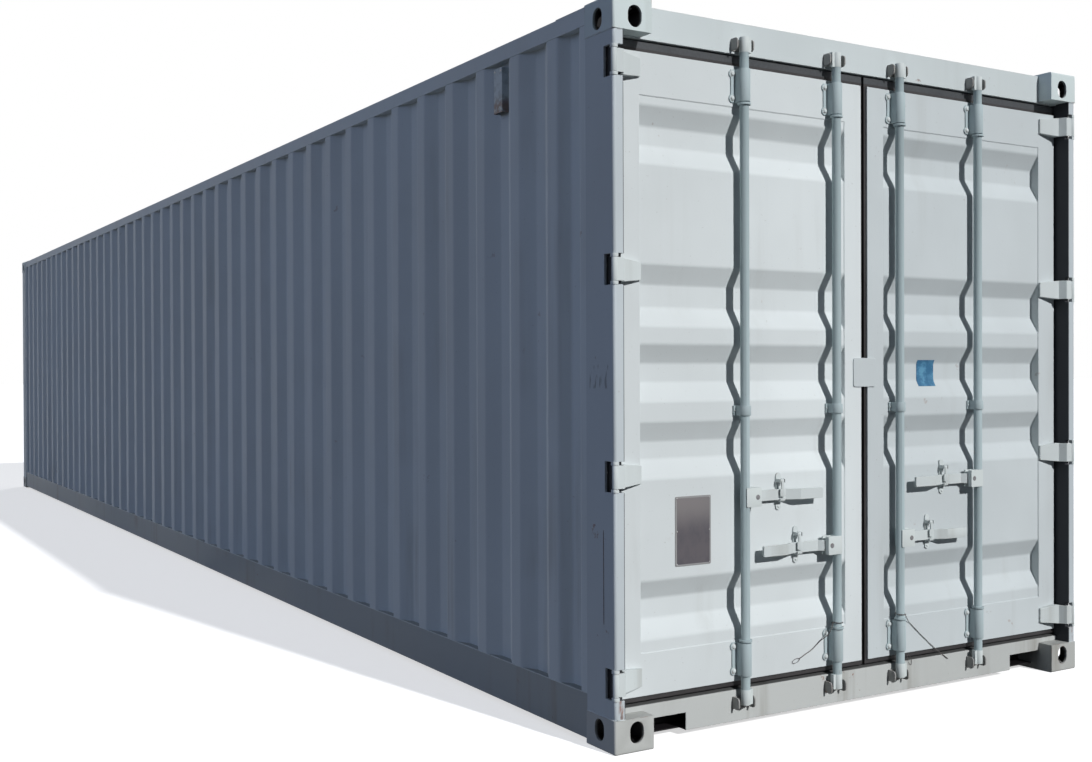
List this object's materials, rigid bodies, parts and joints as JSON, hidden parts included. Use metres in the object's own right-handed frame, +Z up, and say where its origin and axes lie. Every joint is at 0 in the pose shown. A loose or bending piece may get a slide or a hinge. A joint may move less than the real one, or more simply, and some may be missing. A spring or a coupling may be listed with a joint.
{
  "type": "shipping container",
  "caption": "Long steel shipping container with folded sheet walls, corner castings and locking double doors at one end, aged pale grey paint.",
  "frame": {"origin": "on the ground under the middle of the container", "axes": "+Z up, +Y from the door end to the front end, +X to the right when facing the doors"},
  "size_m": [2.438, 12.192, 2.591],
  "materials": {
    "painted_steel": "satin, pale grey paint, aged",
    "casting_paint": "satin, pale grey paint, worn at the edges",
    "lock_gear_paint": "satin, pale grey paint over galvanised steel",
    "seal_rubber": "matte",
    "floor_plywood": "worn, matte",
    "underside_coating": "matte, dark wax coating",
    "vent_plastic": "matte"
  },
  "bodies": {
    "container": {"bottom_rails": "painted_steel", "cam_keepers": "lock_gear_paint", "corner_castings_bottom": "casting_paint", "corner_castings_top": "casting_paint", "door_header": "painted_steel", "door_post_left": "painted_steel", "door_post_right": "painted_steel", "door_sill": "painted_steel", "floor_boards": "floor_plywood", "floor_cross_members": "underside_coating", "front_header": "painted_steel", "front_posts": "painted_steel", "front_sill": "painted_steel", "front_wall": "painted_steel", "hinge_lugs": "painted_steel", "roof_corner_plates": "painted_steel", "roof_panel": "painted_steel", "side_vents": "vent_plastic", "side_wall_left": "painted_steel", "side_wall_right": "painted_steel", "top_rails": "painted_steel"},
    "door_left": {"bar_guides_left": "lock_gear_paint", "door_frame_left": "painted_steel", "door_panel_left": "painted_steel", "door_seal_left": "seal_rubber", "handle_retainers_left": "lock_gear_paint", "hinge_blades_left": "painted_steel"},
    "door_right": {"bar_guides_right": "lock_gear_paint", "door_frame_right": "painted_steel", "door_panel_right": "painted_steel", "door_seal_right": "seal_rubber", "handle_retainers_right": "lock_gear_paint", "hinge_blades_right": "painted_steel"},
    "bar_1": {"locking_bar_1": "lock_gear_paint"},
    "handle_1": {"handle_1": "lock_gear_paint"},
    "catch_1": {"handle_catch_1": "lock_gear_paint"},
    "bar_2": {"locking_bar_2": "lock_gear_paint"},
    "handle_2": {"handle_2": "lock_gear_paint"},
    "catch_2": {"handle_catch_2": "lock_gear_paint"},
    "bar_3": {"locking_bar_3": "lock_gear_paint"},
    "handle_3": {"handle_3": "lock_gear_paint"},
    "catch_3": {"handle_catch_3": "lock_gear_paint"},
    "bar_4": {"locking_bar_4": "lock_gear_paint"},
    "handle_4": {"handle_4": "lock_gear_paint"},
    "catch_4": {"handle_catch_4": "lock_gear_paint"}
  },
  "joints": [
    {"name": "door_left_hinge", "type": "hinge", "parent": "container", "child": "door_left", "pos_m": [-1.208, -6.085, 1.302], "axis": [0, 0, -1], "range_deg": [0, 270]},
    {"name": "door_right_hinge", "type": "hinge", "parent": "container", "child": "door_right", "pos_m": [1.208, -6.085, 1.302], "axis": [0, 0, 1], "range_deg": [0, 270]},
    {"name": "bar_1_turn", "type": "hinge", "parent": "door_left", "child": "bar_1", "pos_m": [-0.615, -6.058, 0.845], "axis": [0, 0, 1], "range_deg": [-105, 0]},
    {"name": "handle_1_lift", "type": "hinge", "parent": "bar_1", "child": "handle_1", "pos_m": [-0.571, -6.053, 0.845], "axis": [0, 1, 0], "range_deg": [-7, 0]},
    {"name": "catch_1_swing", "type": "hinge", "parent": "door_left", "child": "catch_1", "pos_m": [-0.43, -6.047, 0.897], "axis": [1, 0, 0], "range_deg": [-100, 0]},
    {"name": "bar_2_turn", "type": "hinge", "parent": "door_left", "child": "bar_2", "pos_m": [-0.16, -6.058, 0.64], "axis": [0, 0, -1], "range_deg": [-105, 0]},
    {"name": "handle_2_lift", "type": "hinge", "parent": "bar_2", "child": "handle_2", "pos_m": [-0.204, -6.053, 0.64], "axis": [0, -1, 0], "range_deg": [-7, 0]},
    {"name": "catch_2_swing", "type": "hinge", "parent": "door_left", "child": "catch_2", "pos_m": [-0.345, -6.047, 0.692], "axis": [1, 0, 0], "range_deg": [-100, 0]},
    {"name": "bar_3_turn", "type": "hinge", "parent": "door_right", "child": "bar_3", "pos_m": [0.18, -6.058, 0.64], "axis": [0, 0, 1], "range_deg": [-105, 0]},
    {"name": "handle_3_lift", "type": "hinge", "parent": "bar_3", "child": "handle_3", "pos_m": [0.224, -6.053, 0.64], "axis": [0, 1, 0], "range_deg": [-7, 0]},
    {"name": "catch_3_swing", "type": "hinge", "parent": "door_right", "child": "catch_3", "pos_m": [0.365, -6.047, 0.692], "axis": [1, 0, 0], "range_deg": [-100, 0]},
    {"name": "bar_4_turn", "type": "hinge", "parent": "door_right", "child": "bar_4", "pos_m": [0.635, -6.058, 0.86], "axis": [0, 0, -1], "range_deg": [-105, 0]},
    {"name": "handle_4_lift", "type": "hinge", "parent": "bar_4", "child": "handle_4", "pos_m": [0.591, -6.053, 0.86], "axis": [0, -1, 0], "range_deg": [-7, 0]},
    {"name": "catch_4_swing", "type": "hinge", "parent": "door_right", "child": "catch_4", "pos_m": [0.45, -6.047, 0.912], "axis": [1, 0, 0], "range_deg": [-100, 0]}
  ]
}
